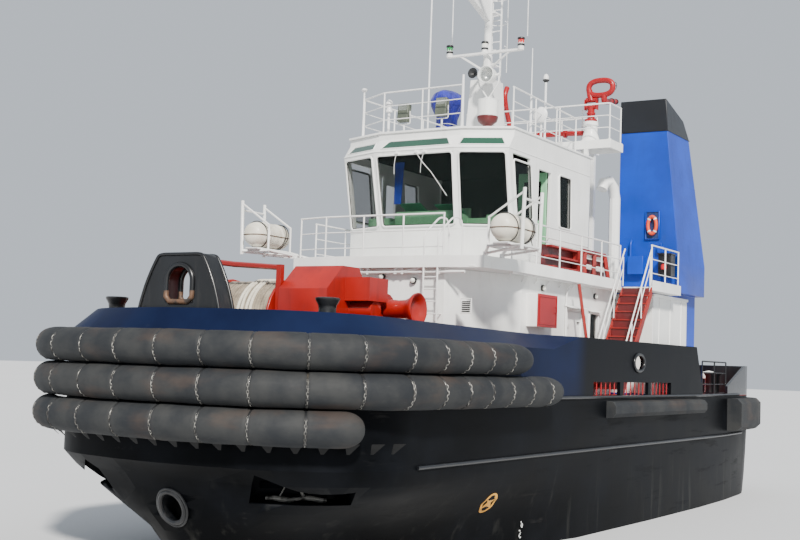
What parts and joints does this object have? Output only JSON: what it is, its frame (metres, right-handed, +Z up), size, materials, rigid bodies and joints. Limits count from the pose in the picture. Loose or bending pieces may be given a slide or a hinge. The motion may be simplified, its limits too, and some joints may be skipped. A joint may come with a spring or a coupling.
{
  "type": "harbour tug",
  "caption": "Ship-handling harbour tug: fendered bow, escort winch and staple, raised wheelhouse, side funnel, fire monitors, mast and azimuth drives under the stern.",
  "frame": {"origin": "on the centreline at midships, at the waterline", "axes": "+X to the bow, +Y to port, +Z up"},
  "size_m": [28.9099, 9.4498, 21.98],
  "materials": {
    "hull_black": "satin black hull paint",
    "navy_paint": "gloss navy enamel",
    "white_paint": "gloss white enamel",
    "winch_red": "gloss orange-red enamel",
    "stair_red": "satin oxide red",
    "fire_red": "gloss fire red",
    "funnel_blue": "gloss blue enamel",
    "fender_rubber": "weathered matt rubber",
    "bronze": "bare cast bronze",
    "window_glass": "dark tinted pane",
    "raft_shell": "cream glass-fibre shell",
    "rope": "pale braided fibre",
    "blue_cloth": "coated blue cloth",
    "mint_paint": "satin mint green"
  },
  "bodies": {
    "vessel": {"hull": "hull_black", "stern_bulwark": "hull_black", "towing_staple": "hull_black", "tow_post": "hull_black", "bulwark": "navy_paint", "deckhouse": "white_paint", "bridge_deck": "white_paint", "wheelhouse": "white_paint", "wheelhouse_roof": "white_paint", "fire_deck": "white_paint", "roof_rail": "white_paint", "roof_rail_port": "white_paint", "fire_deck_rail": "white_paint", "fire_deck_rail_aft": "white_paint", "bridge_front_rail": "white_paint", "mast": "white_paint", "bridge_side_rail_port": "white_paint", "bridge_side_rail_starboard": "white_paint", "landing_rail_port": "white_paint", "landing_rail_starboard": "white_paint", "raft_cradle_port": "white_paint", "raft_cradle_starboard": "white_paint", "winch_frame": "winch_red", "bridge_stairs_port": "stair_red", "bridge_stairs_starboard": "stair_red", "funnel": "funnel_blue", "air_intake_casing": "funnel_blue", "bow_fender_top": "fender_rubber", "bow_fender_middle": "fender_rubber", "bow_fender_lower": "fender_rubber", "stern_fender": "fender_rubber", "side_fender_port": "fender_rubber", "side_fender_starboard": "fender_rubber", "wheelhouse_glazing": "window_glass", "life_raft_port": "raft_shell", "life_raft_starboard": "raft_shell", "monitor_cover": "blue_cloth", "helm_console": "mint_paint"},
    "drive_port": {"azimuth_drive_port": "hull_black"},
    "drive_starboard": {"azimuth_drive_starboard": "hull_black"},
    "screw_port": {"propeller_port": "bronze"},
    "screw_starboard": {"propeller_starboard": "bronze"},
    "thruster_screw": {"bow_thruster_propeller": "bronze"},
    "drum": {"winch_drum": "winch_red", "drum_hawser": "rope"},
    "warping_barrel": {"warping_head": "winch_red"},
    "radar_lower": {"radar_scanner_lower": "white_paint"},
    "radar_upper": {"radar_scanner_upper": "white_paint"},
    "light_yoke": {"searchlight_yoke": "white_paint"},
    "light_lamp": {"searchlight_lamp": "white_paint"},
    "monitor_turret": {"monitor_body_port": "fire_red"},
    "monitor_barrel": {"monitor_barrel_port": "fire_red"},
    "house_door_port": {"deckhouse_door_port": "white_paint"},
    "house_door_starboard": {"deckhouse_door_starboard": "white_paint"},
    "bridge_door_port": {"wheelhouse_door_port": "white_paint"},
    "bridge_door_starboard": {"wheelhouse_door_starboard": "white_paint"},
    "hose_door_port": {"hose_cabinet_door_port": "fire_red"},
    "hose_door_starboard": {"hose_cabinet_door_starboard": "fire_red"},
    "hook": {"tow_hook": "winch_red"},
    "capstan_barrel": {"capstan": "winch_red"}
  },
  "joints": [
    {"name": "azimuth_port", "type": "hinge", "parent": "vessel", "child": "drive_port", "pos_m": [-10.2, 2.1, -2.3], "axis": [0, 0, 1], "continuous": true},
    {"name": "propeller_port_spin", "type": "hinge", "parent": "drive_port", "child": "screw_port", "pos_m": [-11.26, 2.1, -3.9], "axis": [1, 0, 0], "continuous": true},
    {"name": "deckhouse_door_port", "type": "hinge", "parent": "vessel", "child": "house_door_port", "pos_m": [0.823, 2.6663, 4.6], "axis": [0, 0, -1], "range_deg": [0, 100]},
    {"name": "wheelhouse_door_port", "type": "hinge", "parent": "vessel", "child": "bridge_door_port", "pos_m": [1.57, 2.305, 8.2], "axis": [0, 0, 1], "range_deg": [0, 90]},
    {"name": "hose_cabinet_door_port", "type": "hinge", "parent": "vessel", "child": "hose_door_port", "pos_m": [3.3, 2.98, 5.5], "axis": [0, 0, -1], "range_deg": [0, 110]},
    {"name": "azimuth_starboard", "type": "hinge", "parent": "vessel", "child": "drive_starboard", "pos_m": [-10.2, -2.1, -2.3], "axis": [0, 0, 1], "continuous": true},
    {"name": "propeller_starboard_spin", "type": "hinge", "parent": "drive_starboard", "child": "screw_starboard", "pos_m": [-11.26, -2.1, -3.9], "axis": [1, 0, 0], "continuous": true},
    {"name": "deckhouse_door_starboard", "type": "hinge", "parent": "vessel", "child": "house_door_starboard", "pos_m": [0.823, -2.6663, 4.6], "axis": [0, 0, 1], "range_deg": [0, 100]},
    {"name": "wheelhouse_door_starboard", "type": "hinge", "parent": "vessel", "child": "bridge_door_starboard", "pos_m": [1.57, -2.305, 8.2], "axis": [0, 0, 1], "range_deg": [0, 90]},
    {"name": "hose_cabinet_door_starboard", "type": "hinge", "parent": "vessel", "child": "hose_door_starboard", "pos_m": [3.3, -2.98, 5.5], "axis": [0, 0, 1], "range_deg": [0, 110]},
    {"name": "bow_thruster_spin", "type": "hinge", "parent": "vessel", "child": "thruster_screw", "pos_m": [7.8, 0.31, -1.9], "axis": [0, 1, 0], "continuous": true},
    {"name": "winch_drum_turn", "type": "hinge", "parent": "vessel", "child": "drum", "pos_m": [10.3, -0.26, 4.93], "axis": [0, 1, 0], "continuous": true},
    {"name": "warping_head_turn", "type": "hinge", "parent": "vessel", "child": "warping_barrel", "pos_m": [9.4, 2.76, 5.23], "axis": [0, 1, 0], "continuous": true},
    {"name": "radar_lower_turn", "type": "hinge", "parent": "vessel", "child": "radar_lower", "pos_m": [2.07, 0, 14.8], "axis": [0, 0, 1], "continuous": true},
    {"name": "radar_upper_turn", "type": "hinge", "parent": "vessel", "child": "radar_upper", "pos_m": [1.75, 0, 15.95], "axis": [0, 0, 1], "continuous": true},
    {"name": "searchlight_pan", "type": "hinge", "parent": "vessel", "child": "light_yoke", "pos_m": [1.5, 0.45, 11.44], "axis": [0, 0, 1], "range_deg": [-170, 170]},
    {"name": "searchlight_tilt", "type": "hinge", "parent": "light_yoke", "child": "light_lamp", "pos_m": [1.5, 0.45, 12.08], "axis": [0, -1, 0], "range_deg": [-30, 60]},
    {"name": "monitor_train", "type": "hinge", "parent": "vessel", "child": "monitor_turret", "pos_m": [-1.45, 2.25, 11.3], "axis": [0, 0, -1], "range_deg": [-20, 180]},
    {"name": "monitor_elevate", "type": "hinge", "parent": "monitor_turret", "child": "monitor_barrel", "pos_m": [-1.45, 2.25, 11.64], "axis": [0, 1, 0], "range_deg": [0, 60]},
    {"name": "tow_hook_swing", "type": "hinge", "parent": "vessel", "child": "hook", "pos_m": [-8.2, 0, 4.4], "axis": [0, 0, 1], "range_deg": [-100, 100]},
    {"name": "capstan_turn", "type": "hinge", "parent": "vessel", "child": "capstan_barrel", "pos_m": [-12.3, 0, 3.9], "axis": [0, 0, 1], "continuous": true}
  ]
}
